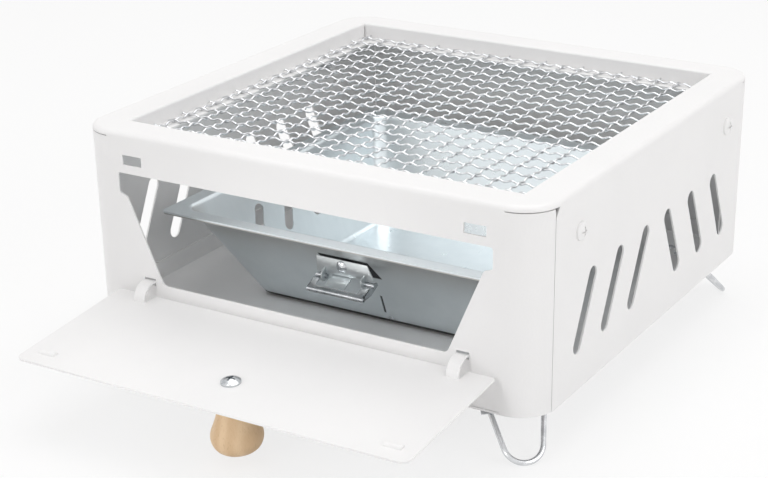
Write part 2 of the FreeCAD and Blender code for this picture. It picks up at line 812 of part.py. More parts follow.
def crimped_wire(phase, half_span):
    """A wire along x with a crossing at each pitch; phase 1 lies over the middle crossing."""
    each_way = crossings_each_way(half_span)
    stations = []
    for k in range(-each_way, each_way + 1):
        stations.append((wire_pitch * k, wave_height * phase * (-1) ** k))
    slack = 1 - 2 * (half_span / wire_pitch - each_way)
    stations.insert(0, (-half_span, stations[0][1] * slack))
    stations.append((half_span, stations[-1][1] * slack))
    stretch = 1 / math.cos(wave_slope)
    rings = []
    for x, z in stations:
        ring = []
        for k in range(wire_sides):
            angle = 2 * math.pi * k / wire_sides
            ring.append(Vector(x, wire_flat * math.cos(angle), z + wire_flat * math.sin(angle) * stretch))
        rings.append(ring)
    faces = [Part.Face(Part.makePolygon(ring + [ring[0]])) for ring in (rings[0], rings[-1])]
    for here, ahead in zip(rings, rings[1:]):
        for k in range(wire_sides):
            other = (k + 1) % wire_sides
            side = [here[k], here[other], ahead[other], ahead[k], here[k]]
            faces.append(Part.Face(Part.makePolygon(side)))
    wire = Part.Solid(Part.Shell(faces))
    if wire.Volume < 0:
        wire.reverse()
    return wire


def grate_wires(half_span, across, turn, phase):
    """Wires of the given half length along x, laid side by side up to across and then turned."""
    height = ledge_top + grate_seat_gap + wave_height + wire_radius / math.cos(wave_slope)
    each_way = crossings_each_way(across)
    pieces = []
    for k in range(-each_way, each_way + 1):
        wire = crimped_wire(phase * (-1) ** k, half_span)
        wire.translate(Vector(0, wire_pitch * k, 0))
        wire.rotate(Vector(0, 0, 0), Vector(0, 0, 1), turn)
        wire.translate(Vector(0, middle_y, height))
        pieces.append(wire)
    return Part.makeCompound(pieces)


def all_parts():
    grate_x = rim_half_x - grate_edge_gap
    grate_y = rim_half_y - grate_edge_gap
    parts = {
        "body_shell": body_shell(),
        "base_plate": base_plate(),
        "grate_frame": grate_frame(),
        "frame_screws": frame_screws(),
        "frame_nuts": frame_nuts(),
        "door": door(),
        "knob": knob(),
        "knob_screw": knob_screw(),
        "charcoal_pan": charcoal_pan(),
        "pan_handle_plate": pan_handle_plate(),
        "pan_handle_rivet": pan_handle_rivet(),
        "pan_pull": pan_pull(),
        "pull_pins": pull_pins(),
        "saddle_rivets": saddle_rivets(),
        "grate_cross_wires": grate_wires(grate_x, grate_y, 0, 1),
        "grate_long_wires": grate_wires(grate_y, grate_x, 90, -1),
    }
    for corner in leg_corners():
        parts[corner[0] + "_leg"] = wire_leg(corner)
        parts[corner[0] + "_saddle"] = leg_saddle(corner)
    return parts


def overall_box(parts):
    whole = FreeCAD.BoundBox()
    for shape in parts.values():
        whole.add(shape.BoundBox)
    return whole


os.makedirs("parts", exist_ok=True)
grill = all_parts()
# The origin lies on the ground, under the middle of the grill's footprint with its door down.
extent = overall_box(grill)
origin = Vector(0, (extent.YMin + extent.YMax) / 2, floor_z)
for name, shape in grill.items():
    shape.translate(-origin)
    shape.exportStep("parts/" + name + ".step")
    print(name, len(shape.Solids), "valid" if shape.isValid() else "INVALID", round(shape.Volume, 1))
print("origin in drawing coordinates", origin)
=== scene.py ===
import json
import math
import bpy
import bmesh
from mathutils import Matrix, Vector


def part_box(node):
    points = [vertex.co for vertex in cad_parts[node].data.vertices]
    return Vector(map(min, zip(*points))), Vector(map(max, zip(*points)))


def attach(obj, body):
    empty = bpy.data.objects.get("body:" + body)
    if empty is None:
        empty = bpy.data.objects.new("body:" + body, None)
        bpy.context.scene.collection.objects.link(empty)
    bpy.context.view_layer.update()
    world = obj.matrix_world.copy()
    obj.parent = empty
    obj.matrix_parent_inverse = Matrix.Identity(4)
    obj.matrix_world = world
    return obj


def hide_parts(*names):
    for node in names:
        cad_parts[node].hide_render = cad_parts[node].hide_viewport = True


# Portable charcoal grill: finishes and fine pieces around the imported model, in metres.

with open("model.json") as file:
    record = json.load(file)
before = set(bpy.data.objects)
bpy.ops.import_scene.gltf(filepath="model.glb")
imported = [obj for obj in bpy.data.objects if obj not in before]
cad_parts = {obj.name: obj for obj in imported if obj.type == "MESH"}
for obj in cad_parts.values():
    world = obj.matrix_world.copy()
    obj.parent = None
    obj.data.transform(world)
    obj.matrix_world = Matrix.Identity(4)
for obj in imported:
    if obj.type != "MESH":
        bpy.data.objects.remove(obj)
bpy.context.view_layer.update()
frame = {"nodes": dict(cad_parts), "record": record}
nodes = frame["nodes"]
print("frame loaded,", len(nodes), "nodes")

scene = bpy.context.scene
scene.view_settings.view_transform = "Standard"


# Camera, room and light

cameraSet = {
    "place": (0.48440, -0.79360, 0.42699),
    "turn": (65.290, 0.061, 29.458),
    "lens": 82.86,
    "shift": (-0.0859, 0.1445),
    "farthest": 60,
}

room = {
    "floorSize": 30.0,
    "floorColour": (0.93, 0.93, 0.93, 1),
    "floorRoughness": 0.9,
    "floorShine": 0.1,
    "floorGlow": 0.75,
    "skyColour": (1.0, 0.99, 0.985, 1),
    "skyStrength": 0.5,
}

softboxes = (
    {"name": "overhead", "place": (0.05, 0.3, 1.7), "aim": (0, 0, 0.1), "size": 1.7, "power": 12.7},
    {"name": "frontKey", "place": (-0.35, -1.8, 0.85), "aim": (0, 0, 0.05), "size": 1.3, "power": 4.5},
    {"name": "leftFill", "place": (-1.7, -0.9, 0.9), "aim": (0, 0, 0.06), "size": 1.2, "power": 5},
    {"name": "rightFill", "place": (1.8, -0.4, 0.9), "aim": (0, 0, 0.06), "size": 1.3, "power": 9.5},
)

# two narrow spots lighten the fire box, one through the window and one through the grate
spots = (
    {"name": "windowFill", "place": (-0.15, -1.25, 0.42), "aim": (0.02, -0.095, 0.05), "size": 0.1,
     "cone": 6.6, "blend": 0.8, "power": 26},
    {"name": "grateFill", "place": (-0.4, -0.55, 1.75), "aim": (0, 0.03, 0.1), "size": 0.25,
     "cone": 7, "blend": 0.8, "power": 32},
)


def setCamera():
    data = bpy.data.cameras.new("photoCamera")
    data.lens = cameraSet["lens"]
    data.shift_x, data.shift_y = cameraSet["shift"]
    data.clip_end = cameraSet["farthest"]
    camera = bpy.data.objects.new("photoCamera", data)
    camera.location = cameraSet["place"]
    camera.rotation_euler = [math.radians(angle) for angle in cameraSet["turn"]]
    scene.collection.objects.link(camera)
    scene.camera = camera


def seenOrMirrored(tree):
    # 1 for camera, glossy and transmission rays: the white is seen and mirrored, but lights nothing
    rays = tree.nodes.new("ShaderNodeLightPath")
    mirrored = tree.nodes.new("ShaderNodeMath")
    mirrored.operation = "MAXIMUM"
    tree.links.new(rays.outputs["Is Glossy Ray"], mirrored.inputs[0])
    tree.links.new(rays.outputs["Is Transmission Ray"], mirrored.inputs[1])
    seen = tree.nodes.new("ShaderNodeMath")
    seen.operation = "MAXIMUM"
    tree.links.new(rays.outputs["Is Camera Ray"], seen.inputs[0])
    tree.links.new(mirrored.outputs[0], seen.inputs[1])
    return seen.outputs[0]


def setSky():
    world = bpy.data.worlds.new("studio")
    world.use_nodes = True
    scene.world = world
    tree = world.node_tree
    sky = tree.nodes["Background"]
    sky.inputs["Color"].default_value = room["skyColour"]
    sky.inputs["Strength"].default_value = room["skyStrength"]
    white = tree.nodes.new("ShaderNodeBackground")
    white.inputs["Color"].default_value = (1, 1, 1, 1)
    pick = tree.nodes.new("ShaderNodeMixShader")
    tree.links.new(seenOrMirrored(tree), pick.inputs[0])
    tree.links.new(sky.outputs[0], pick.inputs[1])
    tree.links.new(white.outputs[0], pick.inputs[2])
    tree.links.new(pick.outputs[0], tree.nodes["World Output"].inputs["Surface"])


def addLamp(values, kind):
    data = bpy.data.lights.new(values["name"], kind)
    data.energy = values["power"]
    if kind == "AREA":
        data.shape = "DISK"
        data.size = values["size"]
    else:
        data.shadow_soft_size = values["size"]
        data.spot_size = math.radians(values["cone"])
        data.spot_blend = values["blend"]
    lamp = bpy.data.objects.new(values["name"], data)
    lamp.location = values["place"]
    ahead = Vector(values["aim"]) - Vector(values["place"])
    lamp.rotation_euler = ahead.to_track_quat("-Z", "Y").to_euler()
    scene.collection.objects.link(lamp)


def newObject(name, shape):
    mesh = bpy.data.meshes.new(name)
    shape.to_mesh(mesh)
    shape.free()
    piece = bpy.data.objects.new(name, mesh)
    scene.collection.objects.link(piece)
    return piece


def layFloor():
    shape = bmesh.new()
    bmesh.ops.create_grid(shape, x_segments=1, y_segments=1, size=room["floorSize"] / 2)
    floor = newObject("floor", shape)
    material = bpy.data.materials.new("paleFloor")
    material.use_nodes = True
    tree = material.node_tree
    surface = tree.nodes["Principled BSDF"]
    surface.inputs["Base Color"].default_value = room["floorColour"]
    surface.inputs["Roughness"].default_value = room["floorRoughness"]
    surface.inputs["Specular IOR Level"].default_value = room["floorShine"]
    glow = tree.nodes.new("ShaderNodeEmission")
    share = tree.nodes.new("ShaderNodeMath")
    share.operation = "MULTIPLY"
    share.inputs[1].default_value = room["floorGlow"]
    tree.links.new(seenOrMirrored(tree), share.inputs[0])
    blend = tree.nodes.new("ShaderNodeMixShader")
    tree.links.new(share.outputs[0], blend.inputs[0])
    tree.links.new(surface.outputs[0], blend.inputs[1])
    tree.links.new(glow.outputs[0], blend.inputs[2])
    tree.links.new(blend.outputs[0], tree.nodes["Material Output"].inputs["Surface"])
    floor.data.materials.append(material)


setCamera()
setSky()
for values in softboxes:
    addLamp(values, "AREA")
for values in spots:
    addLamp(values, "SPOT")
layFloor()
print("room ready")


# The part's drawing, in millimetres: x to the right, y back from the front panel, z up from the body's edge

drawing = {"front": 0.09667719788, "floor": 0.02916203475}


def metres(*lengths):
    return Vector(lengths) / 1000


def at(x, y, z):
    return Vector((x / 1000, y / 1000 - drawing["front"], z / 1000 + drawing["floor"]))


# Finishes. Every pattern reads Object coordinates, in metres.

class Finish:
    # a node material with short calls for the few nodes that the finishes share

    def __init__(self, name, **values):
        self.material = bpy.data.materials.new(name)
        self.material.use_nodes = True
        self.tree = self.material.node_tree
        self.surface = self.tree.nodes["Principled BSDF"]
        for socket, value in values.items():
            self.surface.inputs[socket.replace("_", " ")].default_value = value
        self.place = self.tree.nodes.new("ShaderNodeTexCoord").outputs["Object"]

    def stretched(self, scale, turn=(0, 0, 0)):
        mapping = self.tree.nodes.new("ShaderNodeMapping")
        mapping.inputs["Scale"].default_value = scale
        mapping.inputs["Rotation"].default_value = [math.radians(angle) for angle in turn]
        self.tree.links.new(self.place, mapping.inputs["Vector"])
        return mapping.outputs["Vector"]

    def noise(self, scale, detail=2.0, rough=0.5, distortion=0.0, along=None):
        node = self.tree.nodes.new("ShaderNodeTexNoise")
        node.inputs["Scale"].default_value = scale
        node.inputs["Detail"].default_value = detail
        node.inputs["Roughness"].default_value = rough
        node.inputs["Distortion"].default_value = distortion
        self.tree.links.new(along or self.place, node.inputs["Vector"])
        return node.outputs["Fac"]

    def spread(self, value, low, high, toLow, toHigh):
        node = self.tree.nodes.new("ShaderNodeMapRange")
        for socket, number in zip(("From Min", "From Max", "To Min", "To Max"), (low, high, toLow, toHigh)):
            node.inputs[socket].default_value = number
        self.tree.links.new(value, node.inputs["Value"])
        return node.outputs["Result"]

    def blend(self, value, first, second):
        node = self.tree.nodes.new("ShaderNodeMix")
        node.data_type = "RGBA"
        for socket, source in (("Factor_Float", value), ("A_Color", first), ("B_Color", second)):
            inlet = next(i for i in node.inputs if i.identifier == socket)
            if isinstance(source, bpy.types.NodeSocket):
                self.tree.links.new(source, inlet)
            else:
                inlet.default_value = source
        return next(o for o in node.outputs if o.identifier == "Result_Color")

    def add(self, first, second, share=1.0):
        node = self.tree.nodes.new("ShaderNodeMath")
        node.operation = "MULTIPLY_ADD"
        self.tree.links.new(second, node.inputs[0])
        node.inputs[1].default_value = share
        self.tree.links.new(first, node.inputs[2])
        return node.outputs[0]

    def math(self, operation, first, second=0.0):
        node = self.tree.nodes.new("ShaderNodeMath")
        node.operation = operation
        for inlet, source in zip(node.inputs, (first, second)):
            if isinstance(source, bpy.types.NodeSocket):
                self.tree.links.new(source, inlet)
            else:
                inlet.default_value = source
        return node.outputs[0]

    def inPatch(self, patch, soft):
        # 1 inside a block that ends half its width to each side along each direction, 0 outside it
        apart = self.tree.nodes.new("ShaderNodeVectorMath")
        apart.operation = "SUBTRACT"
        apart.inputs[1].default_value = at(*patch["middle"])
        self.tree.links.new(self.place, apart.inputs[0])
        farthest = -1.0
        for direction, half in patch["bounds"]:
            along = self.tree.nodes.new("ShaderNodeVectorMath")
            along.operation = "DOT_PRODUCT"
            along.inputs[1].default_value = Vector(direction).normalized()
            self.tree.links.new(apart.outputs[0], along.inputs[0])
            over = self.math("SUBTRACT", self.math("ABSOLUTE", along.outputs["Value"]), half / 1000)
            farthest = self.math("MAXIMUM", over, farthest)
        return self.spread(farthest, -soft, soft, 1, 0)

    def bump(self, height, distance, strength=1.0):
        node = self.tree.nodes.new("ShaderNodeBump")
        node.inputs["Distance"].default_value = distance
        node.inputs["Strength"].default_value = strength
        self.tree.links.new(height, node.inputs["Height"])
        self.tree.links.new(node.outputs["Normal"], self.surface.inputs["Normal"])

    def feed(self, socket, value):
        self.tree.links.new(value, self.surface.inputs[socket])


whitePaint = {
    "colour": (0.868, 0.862, 0.860, 1),
    "worn": (0.835, 0.830, 0.830, 1),
    "cloudScale": 9.0,
    "cloudSpan": (0.35, 0.75),
    "peelScale": 620.0,
    "peelSpan": (0.3, 0.7),
    "peelHeight": 0.00005,
    "panelScale": 7.0,
    "panelShare": 14.0,
    "roughness": (0.34, 0.46),
}


def paintFinish():
    finish = Finish("whitePaint", IOR=1.5)
    clouds = finish.noise(whitePaint["cloudScale"], detail=4.0, rough=0.6)
    patchy = finish.spread(clouds, *whitePaint["cloudSpan"], 0, 1)
    finish.feed("Base Color", finish.blend(patchy, whitePaint["colour"], whitePaint["worn"]))
    fine = finish.noise(whitePaint["peelScale"], detail=1.5)
    finish.feed("Roughness", finish.spread(fine, *whitePaint["peelSpan"], *whitePaint["roughness"]))
    waves = finish.noise(whitePaint["panelScale"], detail=1.0)
    finish.bump(finish.add(fine, waves, whitePaint["panelShare"]), whitePaint["peelHeight"])
    return finish.material


zincSheet = {
    "bright": (0.79, 0.84, 0.86, 1),
    "dull": (0.72, 0.775, 0.80, 1),
    "roughness": (0.26, 0.36),
    "streaks": (70, 90, 6),
    "rubbed": (190, 60, 9),
    "cloudScale": 14.0,
    "cloudShare": 0.8,
    "spangleScale": 85.0,
    "spangleShare": 0.2,
    "mottleSpan": (0.65, 1.3),
    "rubShare": 0.5,
    "bumpHeight": 0.00006,
    "bumpStrength": 0.3,
    # painted reflection: the grey of the upper front wall stands in for the dark things that the wall
    # mirrors
    "paintedReflection": (0.47, 0.465, 0.45, 1),
    "paintedReflectionRise": (0.066, 0.088),
    "paintedReflectionWave": 0.018,
    "paintedReflectionDepth": (-0.064, -0.045),
    "underFlange": (0.0880, 0.0884),
    # painted shade: near-black patches for the gap round the pull's plate, the slit beside it and the foot's
    # contact line
    "paintedShade": (0.035, 0.035, 0.038, 1),
    "paintedShadeEdge": 0.0003,
    "paintedShadePatches": (
        {"middle": (3.2, 44.7, 41.6),
         "bounds": (((1, 0, 0), 18.2), ((0, 0.857, 0.515), 0.5), ((0, 0, 1), 5.4), ((0.90, 0, 0.43), 14.3))},
        {"middle": (14.35, 60.2, 15.85),
         "bounds": (((1, 0, -0.16), 0.55), ((0, 1, 0), 6), ((0.16, 0, 1), 6.6))},
        {"middle": (0, 68.5, 2.2),
         "bounds": (((1, 0, 0), 80), ((0, 1, 0), 2.8), ((0, 0, 1), 1.9))},
    ),
}


def zincFinish():
    finish = Finish("zincSheet", Metallic=0.9)
    streaks = finish.noise(1.0, detail=6.0, rough=0.65, along=finish.stretched(zincSheet["streaks"]))
    clouds = finish.noise(zincSheet["cloudScale"], detail=5.0, rough=0.6, distortion=0.6)
    grains = finish.tree.nodes.new("ShaderNodeTexVoronoi")
    grains.inputs["Scale"].default_value = zincSheet["spangleScale"]
    finish.tree.links.new(finish.place, grains.inputs["Vector"])
    mottle = finish.add(streaks, clouds, zincSheet["cloudShare"])
    mottle = finish.add(mottle, grains.outputs["Distance"], zincSheet["spangleShare"])
    tone = finish.spread(mottle, *zincSheet["mottleSpan"], 0, 1)
    sheen = finish.blend(tone, zincSheet["dull"], zincSheet["bright"])
    # painted reflection: the upper part of the pan's front wall is greyed in a wavy band, standing in for
    # the dark things that the wall mirrors
    place = finish.tree.nodes.new("ShaderNodeSeparateXYZ")
    finish.tree.links.new(finish.place, place.inputs[0])
    waves = finish.add(place.outputs["Z"], streaks, zincSheet["paintedReflectionWave"])
    high = finish.spread(waves, *zincSheet["paintedReflectionRise"], 0, 1)
    near = finish.spread(place.outputs["Y"], *zincSheet["paintedReflectionDepth"], 1, 0)
    below = finish.spread(place.outputs["Z"], *zincSheet["underFlange"], 1, 0)
    paintedReflectionBand = finish.math("MULTIPLY", finish.math("MULTIPLY", high, near), below)
    sheen = finish.blend(paintedReflectionBand, sheen, zincSheet["paintedReflection"])
    # painted shade: near-black is painted in the gap round the pull's plate, in the slit beside it and along
    # the foot's contact line
    paintedShade = 0.0
    for patch in zincSheet["paintedShadePatches"]:
        paintedShade = finish.math("MAXIMUM", finish.inPatch(patch, zincSheet["paintedShadeEdge"]), paintedShade)
    finish.feed("Base Color", finish.blend(paintedShade, sheen, zincSheet["paintedShade"]))
    smooth, dull = zincSheet["roughness"]
    finish.feed("Roughness", finish.spread(mottle, *zincSheet["mottleSpan"], dull, smooth))
    rubbed = finish.noise(1.0, detail=3.0, rough=0.5, along=finish.stretched(zincSheet["rubbed"]))
    relief = finish.add(clouds, rubbed, zincSheet["rubShare"])
    finish.bump(relief, zincSheet["bumpHeight"], zincSheet["bumpStrength"])
    return finish.material


platedSteel = {
    "bright": (0.72, 0.735, 0.75, 1),
    "dull": (0.40, 0.42, 0.44, 1),
    "roughness": (0.14, 0.30),
}

brightWire = {
    "bright": (0.80, 0.81, 0.82, 1),
    "dull": (0.56, 0.57, 0.59, 1),
    "roughness": (0.10, 0.22),
}

metalGrain = {
    "cloudScale": 160.0,
    "span": (0.3, 0.7),
    "scratches": (1400, 1400, 160),
    "scratchTurn": (20, 35, 0),
    "scratchShare": 0.4,
    "bumpHeight": 0.00005,
    "bumpStrength": 0.6,
}


def steelFinish(name, values):
    finish = Finish(name, Metallic=1.0)
    clouds = finish.noise(metalGrain["cloudScale"], detail=4.0, rough=0.6)
    tone = finish.spread(clouds, *metalGrain["span"], 0, 1)
    finish.feed("Base Color", finish.blend(tone, values["dull"], values["bright"]))
    along = finish.stretched(metalGrain["scratches"], metalGrain["scratchTurn"])
    scratches = finish.noise(1.0, detail=5.0, rough=0.7, along=along)
    finish.feed("Roughness", finish.spread(scratches, *metalGrain["span"], *values["roughness"]))
    relief = finish.add(clouds, scratches, metalGrain["scratchShare"])
    finish.bump(relief, metalGrain["bumpHeight"], metalGrain["bumpStrength"])
    return finish.material


beech = {
    "light": (0.78, 0.575, 0.365, 1),
    "dark": (0.66, 0.445, 0.255, 1),
    "fleck": (0.50, 0.31, 0.165, 1),
    "lean": (-4.9, 0, 0),
    "ringScale": 37.5,
    "ringStretch": (1, 1, 0.10),
    "ringSpan": (0.1, 0.95, 0, 0.6),
    "grainStretch": (1500, 1500, 70),
    "grainSpan": (0.5, 0.75, 0, 0.45),
    "fleckStretch": (700, 2600, 260),
    "fleckSpan": (0.62, 0.75, 0, 0.5),
    "fleckShare": -0.7,
    "roughSpan": (0.3, 0.7),
    "roughness": (0.42, 0.6),
    "bumpHeight": 0.0001,
}


def woodFinish():
    # the grain runs along the knob, which leans with the open door
    finish = Finish("beech", IOR=1.45)
    rings = finish.tree.nodes.new("ShaderNodeTexWave")
    rings.wave_type = "BANDS"
    rings.bands_direction = "X"
    rings.inputs["Scale"].default_value = beech["ringScale"]
    rings.inputs["Distortion"].default_value = 5.0
    rings.inputs["Detail"].default_value = 3.0
    rings.inputs["Detail Scale"].default_value = 1.6
    along = finish.stretched(beech["ringStretch"], beech["lean"])
    finish.tree.links.new(along, rings.inputs["Vector"])
    along = finish.stretched(beech["grainStretch"], beech["lean"])
    grain = finish.noise(1.0, detail=4.0, rough=0.6, along=along)
    along = finish.stretched(beech["fleckStretch"], beech["lean"])
    flecks = finish.noise(1.0, detail=2.0, along=along)
    banded = finish.spread(rings.outputs["Fac"], *beech["ringSpan"])
    tone = finish.blend(banded, beech["light"], beech["dark"])
    tone = finish.blend(finish.spread(grain, *beech["grainSpan"]), tone, beech["dark"])
    tone = finish.blend(finish.spread(flecks, *beech["fleckSpan"]), tone, beech["fleck"])
    finish.feed("Base Color", tone)
    finish.feed("Roughness", finish.spread(grain, *beech["roughSpan"], *beech["roughness"]))
    finish.bump(finish.add(grain, flecks, beech["fleckShare"]), beech["bumpHeight"])
    return finish.material


finishes = {
    "white_paint": paintFinish(),
    "zinc_sheet": zincFinish(),
    "plated_steel": steelFinish("platedSteel", platedSteel),
    "bright_wire": steelFinish("brightWire", brightWire),
    "beech": woodFinish(),
}
print("finishes ready")


def coat(piece, slot):
    piece.data.materials.clear()
    piece.data.materials.append(finishes[slot])


for entry in frame["record"]["subparts"]:
    coat(nodes[entry["node"]], entry["material_slot"])


def finished(piece, body, slot, node):
    coat(piece, slot)
    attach(piece, body)
    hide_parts(node)


def shaded(piece, sharpest=35):
    piece.data.shade_smooth()
    piece.data.set_sharp_from_angle(angle=math.radians(sharpest))
    return piece


def cutAway(piece, cutters):
    # cuts every cutter out of the piece, after the modifiers that it has, and keeps the result as its mesh
    for cutter in cutters:
        cut = piece.modifiers.new("cut", "BOOLEAN")
        cut.operation = "DIFFERENCE"
        cut.solver = "EXACT"
        cut.object = cutter
    bpy.context.view_layer.update()
    worked = piece.evaluated_get(bpy.context.evaluated_depsgraph_get())
    mesh = bpy.data.meshes.new_from_object(worked)
    piece.modifiers.clear()
    piece.data = mesh
    for cutter in cutters:
        bpy.data.objects.remove(cutter)


def sweptVerts(swept):
    return [v for v in swept["geom"] if isinstance(v, bmesh.types.BMVert)]


def edgesOf(verts, openOnly=False):
    return list({e for v in verts for e in v.link_edges if e.is_boundary or not openOnly})


def bent(shape, edges, width, segments):
    bmesh.ops.bevel(shape, geom=edges, offset=width / 1000, offset_type="OFFSET", affect="EDGES",
                    segments=segments, profile=0.5, material=-1)


def spunRound(shape, profile, steps, nearest):
    # a profile from the rim to the axis, spun round Z
    verts = [shape.verts.new(point) for point in profile]
    edges = [shape.edges.new(pair) for pair in zip(verts, verts[1:])]
    bmesh.ops.spin(shape, geom=verts + edges, cent=(0, 0, 0), axis=(0, 0, 1), angle=2 * math.pi,
                   steps=steps, use_merge=True)
    bmesh.ops.remove_doubles(shape, verts=shape.verts[:], dist=nearest)


# Grate: thin round wires with two extra crimps between crossings, each over and under its neighbours

grate = {
    "radius": 0.00055,
    "pitch": 0.0127,
    "count": 19,
    "crimpsEachPitch": 3,
    "crimp": 0.00058,
    "halfSpan": 0.1185,
    "flat": 0.36,
    "steps": 4,
    "roundness": 1,
}


def crimpedRow(curve, middle, along, phase):
    step = grate["pitch"] / grate["crimpsEachPitch"]
    each = round(grate["halfSpan"] / step)
    spline = curve.splines.new("BEZIER")
    spline.bezier_points.add(2 * each)
    flat = Vector(along) * step * grate["flat"]
    for k, point in zip(range(-each, each + 1), spline.bezier_points):
        reach = max(-grate["halfSpan"], min(grate["halfSpan"], step * k))
        point.co = middle + Vector(along) * reach + Vector((0, 0, grate["crimp"] * phase * (-1) ** k))
        point.handle_left = point.co - flat
        point.handle_right = point.co + flat


def crimpedWires(name, node, along, phase):
    low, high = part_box(node)
    middle = (low + high) / 2
    middle.z = low.z + grate["radius"] + grate["crimp"]
    across = Vector((along[1], along[0], 0))
    curve = bpy.data.curves.new(name, "CURVE")
    curve.dimensions = "3D"
    curve.bevel_depth = grate["radius"]
    curve.bevel_resolution = grate["roundness"]
    curve.resolution_u = grate["steps"]
    curve.use_fill_caps = True
    for k in range(grate["count"]):
        shift = across * grate["pitch"] * (k - (grate["count"] - 1) / 2)
        crimpedRow(curve, middle + shift, along, phase * (-1) ** k)
    drawn = bpy.data.objects.new(name + "Drawn", curve)
    scene.collection.objects.link(drawn)
    bpy.context.view_layer.update()
    mesh = bpy.data.meshes.new_from_object(drawn)
    bpy.data.objects.remove(drawn)
    mesh.shade_smooth()
    piece = bpy.data.objects.new(name, mesh)
    scene.collection.objects.link(piece)
    finished(piece, "grate", "bright_wire", node)


crimpedWires("crossWires", "grate_cross_wires", (1, 0, 0), -1)
crimpedWires("longWires", "grate_long_wires", (0, 1, 0), 1)
print("grate woven")


# Charcoal pan, drawn by the outside of its walls and the underside of its flange, thickened inwards

pan = {
    "flange": {"half": 106, "front": 25, "back": 245, "height": 59.4, "radius": 2.5},
    "mouth": {"half": 97.6, "front": 33.8, "back": 236.2, "height": 59.4, "radius": 8},
    "foot": {"half": 74.5, "front": 69, "back": 201, "height": 1.2, "radius": 9},
    "lip": 1.0,
    "lift": 12.0,
    "sheet": 0.6,
    "cornerSteps": 6,
    "mouthBend": 1.8,
    "footBend": 3.0,
    "bendSteps": 3,
    "sharpest": 30,
}

vents = {
    "count": 4,
    "width": 8.8,
    "low": 23.4,
    "high": 45.0,
    "lean": 0.62,
    "pitch": 29.6,
    "middle": 133.5,
    "sides": 16,
}

slit = {
    "top": (15.4, 56.3, 22.3),
    "low": (13.3, 64.1, 9.4),
    "width": 1.1,
    "depth": 0.8,
}


def roundedLoop(shape, outline, drop=0, keepFace=False):
    before = set(shape.faces)
    half, front, back = outline["half"], outline["front"], outline["back"]
    corners = [shape.verts.new(at(x, y, outline["height"] - drop)) for x, y in
               ((-half, front), (half, front), (half, back), (-half, back))]
    shape.faces.new(corners)
    bmesh.ops.bevel(shape, geom=corners, offset=outline["radius"] / 1000, offset_type="OFFSET",
                    affect="VERTICES", segments=pan["cornerSteps"], profile=0.5, material=-1)
    face = next(f for f in shape.faces if f not in before)
    edges = list(face.edges)
    if not keepFace:
        bmesh.ops.delete(shape, geom=[face], context="FACES_ONLY")
    return edges


def ventCutter(place):
    # a round-ended bar right across the pan, that leans to the back
    shape = bmesh.new()
    rise = vents["high"] - vents["low"] - vents["width"]
    lowEnd = at(-pan["flange"]["half"], place - rise * vents["lean"] / 2, vents["low"] + vents["width"] / 2)
    turn = Matrix.Rotation(math.pi / 2, 4, "Y") @ Matrix.Rotation(math.pi / vents["sides"], 4, "Z")
    bmesh.ops.create_circle(shape, cap_ends=True, segments=vents["sides"], radius=vents["width"] / 2000,
                            matrix=turn)
    bmesh.ops.translate(shape, vec=lowEnd, verts=shape.verts)
    upper = [v for v in shape.verts if v.co.z > lowEnd.z]
    bmesh.ops.translate(shape, vec=metres(0, rise * vents["lean"], rise), verts=upper)
    swept = bmesh.ops.extrude_face_region(shape, geom=shape.faces[:])
    bmesh.ops.translate(shape, vec=metres(2 * pan["flange"]["half"], 0, 0), verts=sweptVerts(swept))
    bmesh.ops.recalc_face_normals(shape, faces=shape.faces[:])
    return newObject("ventCutter", shape)


def slitCutter():
    top, low = at(*slit["top"]), at(*slit["low"])
    run = (top - low).normalized()
    fall = pan["mouth"]["height"] - pan["foot"]["height"]
    setBack = pan["foot"]["front"] - pan["mouth"]["front"]
    outwards = Vector((0, -fall, -setBack)).normalized()
    turn = Matrix((run.cross(outwards), outwards, run)).transposed().to_4x4()
    size = Matrix.Diagonal((slit["width"] / 1000, slit["depth"] / 1000, (top - low).length, 1))
    shape = bmesh.new()
    bmesh.ops.create_cube(shape, size=1, matrix=Matrix.Translation((top + low) / 2) @ turn @ size)
    bmesh.ops.recalc_face_normals(shape, faces=shape.faces[:])
    return newObject("slitCutter", shape)


def makePan():
    shape = bmesh.new()
    foot = roundedLoop(shape, pan["foot"], keepFace=True)
    mouth = roundedLoop(shape, pan["mouth"])
    # the flange's edge is drawn lower, so that its loop pairs well, and lifted once it's bridged
    flange = roundedLoop(shape, pan["flange"], drop=pan["lift"])
    lip = roundedLoop(shape, pan["flange"], drop=pan["lip"])
    bmesh.ops.bridge_loops(shape, edges=foot + mouth)
    bmesh.ops.bridge_loops(shape, edges=mouth + flange)
    rim = list({v for e in flange for v in e.verts})
    bmesh.ops.translate(shape, vec=metres(0, 0, pan["lift"]), verts=rim)
    bmesh.ops.bridge_loops(shape, edges=flange + lip)
    bmesh.ops.recalc_face_normals(shape, faces=shape.faces[:])
    lowest = min(shape.faces, key=lambda f: f.calc_center_median().z)
    if lowest.normal.z > 0:
        bmesh.ops.reverse_faces(shape, faces=shape.faces[:])
    bent(shape, foot, pan["footBend"], pan["bendSteps"])
    bent(shape, mouth, pan["mouthBend"], pan["bendSteps"])
    piece = newObject("pan", shape)
    wall = piece.modifiers.new("sheet", "SOLIDIFY")
    wall.thickness = pan["sheet"] / 1000
    wall.offset = -1
    wall.use_even_offset = True
    count = vents["count"]
    places = [vents["middle"] + (k - (count - 1) / 2) * vents["pitch"] for k in range(count)]
    cutAway(piece, [ventCutter(place) for place in places] + [slitCutter()])
    shaded(piece, pan["sharpest"])
    flat = piece.modifiers.new("flatFaces", "WEIGHTED_NORMAL")
    flat.keep_sharp = True
    finished(piece, "pan", "zinc_sheet", "charcoal_pan")


makePan()
print("pan drawn")


# Pull of the pan: an upright plate on a boss, its ears and tongue, and the folding frame on its two pins

